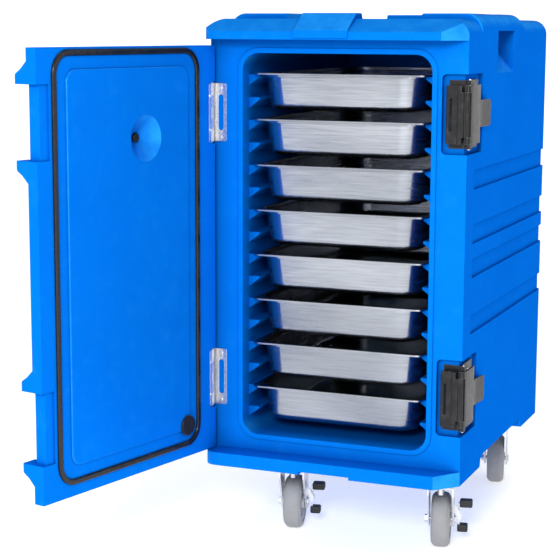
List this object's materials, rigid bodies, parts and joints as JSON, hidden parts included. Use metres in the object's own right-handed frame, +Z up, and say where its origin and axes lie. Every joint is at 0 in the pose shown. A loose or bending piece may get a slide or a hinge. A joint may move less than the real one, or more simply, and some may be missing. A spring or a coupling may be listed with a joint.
{
  "type": "insulated food pan carrier",
  "caption": "Insulated front-loading food carrier on swivel casters, with a hinged gasketed door, draw latches and stainless pans on rails.",
  "frame": {"origin": "on the floor under the middle of the cabinet", "axes": "+X to the right of someone facing the door side, +Y to the back, +Z up"},
  "size_m": [0.6196, 1.0604, 0.958],
  "materials": {
    "cabinet_skin": "moulded polyethylene, slight orange peel",
    "door_skin": "moulded polyethylene, slight orange peel",
    "foam": "rigid foam",
    "gasket": "satin",
    "plug": "satin",
    "pin_steel": "satin",
    "hinge_steel": "brushed",
    "fastener_steel": "satin",
    "latch_plastic": "satin",
    "tyre": "matte",
    "hub": "satin",
    "zinc": "bright zinc",
    "pad": "matte",
    "pan_steel": "polished"
  },
  "bodies": {
    "cabinet": {"cabinet_shell": "cabinet_skin", "cabinet_foam_core": "foam", "rear_fill_plug": "plug", "hinge_cabinet_leaf_upper": "hinge_steel", "hinge_cabinet_leaf_lower": "hinge_steel", "hinge_pin_upper": "pin_steel", "hinge_pin_lower": "pin_steel", "hinge_cabinet_screws": "hinge_steel", "latch_screws": "fastener_steel", "caster_bolts": "fastener_steel", "latch_base_upper": "latch_plastic", "latch_handle_pin_upper": "pin_steel", "latch_base_lower": "latch_plastic", "latch_handle_pin_lower": "pin_steel", "caster_plate_front_left": "zinc", "caster_plate_front_right": "zinc", "caster_plate_rear_left": "zinc", "caster_plate_rear_right": "zinc"},
    "door": {"door_shell": "door_skin", "door_foam_core": "foam", "door_gasket": "gasket", "vent_cap": "plug", "door_fill_plug": "plug", "hinge_door_leaf_upper": "hinge_steel", "hinge_door_leaf_lower": "hinge_steel", "hinge_door_screws": "hinge_steel"},
    "latch_handle_upper": {"latch_handle_upper": "latch_plastic", "latch_hook_pin_upper": "pin_steel"},
    "latch_hook_upper": {"latch_hook_upper": "latch_plastic"},
    "latch_handle_lower": {"latch_handle_lower": "latch_plastic", "latch_hook_pin_lower": "pin_steel"},
    "latch_hook_lower": {"latch_hook_lower": "latch_plastic"},
    "caster_front_left": {"caster_fork_front_left": "zinc", "caster_axle_front_left": "zinc"},
    "wheel_front_left": {"caster_tyre_front_left": "tyre", "caster_hub_front_left": "hub"},
    "brake_front_left": {"brake_pedal_front_left": "zinc", "brake_pads_front_left": "pad"},
    "caster_front_right": {"caster_fork_front_right": "zinc", "caster_axle_front_right": "zinc"},
    "wheel_front_right": {"caster_tyre_front_right": "tyre", "caster_hub_front_right": "hub"},
    "brake_front_right": {"brake_pedal_front_right": "zinc", "brake_pads_front_right": "pad"},
    "caster_rear_left": {"caster_fork_rear_left": "zinc", "caster_axle_rear_left": "zinc"},
    "wheel_rear_left": {"caster_tyre_rear_left": "tyre", "caster_hub_rear_left": "hub"},
    "caster_rear_right": {"caster_fork_rear_right": "zinc", "caster_axle_rear_right": "zinc"},
    "wheel_rear_right": {"caster_tyre_rear_right": "tyre", "caster_hub_rear_right": "hub"},
    "pan_1": {"pan_1": "pan_steel"},
    "pan_2": {"pan_2": "pan_steel"},
    "pan_3": {"pan_3": "pan_steel"},
    "pan_4": {"pan_4": "pan_steel"},
    "pan_5": {"pan_5": "pan_steel"},
    "pan_6": {"pan_6": "pan_steel"},
    "pan_7": {"pan_7": "pan_steel"},
    "pan_8": {"pan_8": "pan_steel"}
  },
  "joints": [
    {"name": "door_hinge", "type": "hinge", "parent": "cabinet", "child": "door", "pos_m": [-0.232, -0.313, 0.54], "axis": [0, 0, -1], "range_deg": [-103, 30]},
    {"name": "latch_handle_upper_turn", "type": "hinge", "parent": "cabinet", "child": "latch_handle_upper", "pos_m": [0.2385, -0.294, 0.788], "axis": [0, 0, -1], "range_deg": [0, 45]},
    {"name": "latch_hook_upper_turn", "type": "hinge", "parent": "latch_handle_upper", "child": "latch_hook_upper", "pos_m": [0.2375, -0.3035, 0.788], "axis": [0, 0, 1], "range_deg": [0, 90]},
    {"name": "latch_handle_lower_turn", "type": "hinge", "parent": "cabinet", "child": "latch_handle_lower", "pos_m": [0.2385, -0.294, 0.296], "axis": [0, 0, -1], "range_deg": [0, 45]},
    {"name": "latch_hook_lower_turn", "type": "hinge", "parent": "latch_handle_lower", "child": "latch_hook_lower", "pos_m": [0.2375, -0.3035, 0.296], "axis": [0, 0, 1], "range_deg": [0, 90]},
    {"name": "swivel_front_left", "type": "hinge", "parent": "cabinet", "child": "caster_front_left", "pos_m": [-0.098, -0.243, 0.11], "axis": [0, 0, 1], "continuous": true},
    {"name": "wheel_front_left_spin", "type": "hinge", "parent": "caster_front_left", "child": "wheel_front_left", "pos_m": [-0.1043, -0.21572, 0.05], "axis": [0.9744, 0.225, 0], "continuous": true},
    {"name": "brake_front_left_press", "type": "hinge", "parent": "caster_front_left", "child": "brake_front_left", "pos_m": [-0.07312, -0.20852, 0.056], "axis": [-0.225, 0.9744, 0], "range_deg": [0, 10]},
    {"name": "swivel_front_right", "type": "hinge", "parent": "cabinet", "child": "caster_front_right", "pos_m": [0.188, -0.243, 0.11], "axis": [0, 0, 1], "continuous": true},
    {"name": "wheel_front_right_spin", "type": "hinge", "parent": "caster_front_right", "child": "wheel_front_right", "pos_m": [0.1817, -0.21572, 0.05], "axis": [0.9744, 0.225, 0], "continuous": true},
    {"name": "brake_front_right_press", "type": "hinge", "parent": "caster_front_right", "child": "brake_front_right", "pos_m": [0.21288, -0.20852, 0.056], "axis": [-0.225, 0.9744, 0], "range_deg": [0, 10]},
    {"name": "swivel_rear_left", "type": "hinge", "parent": "cabinet", "child": "caster_rear_left", "pos_m": [-0.17, 0.2, 0.11], "axis": [0, 0, 1], "continuous": true},
    {"name": "wheel_rear_left_spin", "type": "hinge", "parent": "caster_rear_left", "child": "wheel_rear_left", "pos_m": [-0.1763, 0.22728, 0.05], "axis": [0.9744, 0.225, 0], "continuous": true},
    {"name": "swivel_rear_right", "type": "hinge", "parent": "cabinet", "child": "caster_rear_right", "pos_m": [0.176, 0.2, 0.11], "axis": [0, 0, 1], "continuous": true},
    {"name": "wheel_rear_right_spin", "type": "hinge", "parent": "caster_rear_right", "child": "wheel_rear_right", "pos_m": [0.1697, 0.22728, 0.05], "axis": [0.9744, 0.225, 0], "continuous": true},
    {"name": "pan_1_slide", "type": "slide", "parent": "cabinet", "child": "pan_1", "axis": [0, -1, 0], "range_m": [0, 0.5]},
    {"name": "pan_2_slide", "type": "slide", "parent": "cabinet", "child": "pan_2", "axis": [0, -1, 0], "range_m": [0, 0.5]},
    {"name": "pan_3_slide", "type": "slide", "parent": "cabinet", "child": "pan_3", "axis": [0, -1, 0], "range_m": [0, 0.5]},
    {"name": "pan_4_slide", "type": "slide", "parent": "cabinet", "child": "pan_4", "axis": [0, -1, 0], "range_m": [0, 0.5]},
    {"name": "pan_5_slide", "type": "slide", "parent": "cabinet", "child": "pan_5", "axis": [0, -1, 0], "range_m": [0, 0.5]},
    {"name": "pan_6_slide", "type": "slide", "parent": "cabinet", "child": "pan_6", "axis": [0, -1, 0], "range_m": [0, 0.5]},
    {"name": "pan_7_slide", "type": "slide", "parent": "cabinet", "child": "pan_7", "axis": [0, -1, 0], "range_m": [0, 0.5]},
    {"name": "pan_8_slide", "type": "slide", "parent": "cabinet", "child": "pan_8", "axis": [0, -1, 0], "range_m": [0, 0.5]}
  ],
  "couplings": [
    {"joint": "latch_hook_upper_turn", "follows": "latch_handle_upper_turn", "ratio": 2},
    {"joint": "latch_hook_lower_turn", "follows": "latch_handle_lower_turn", "ratio": 2}
  ]
}
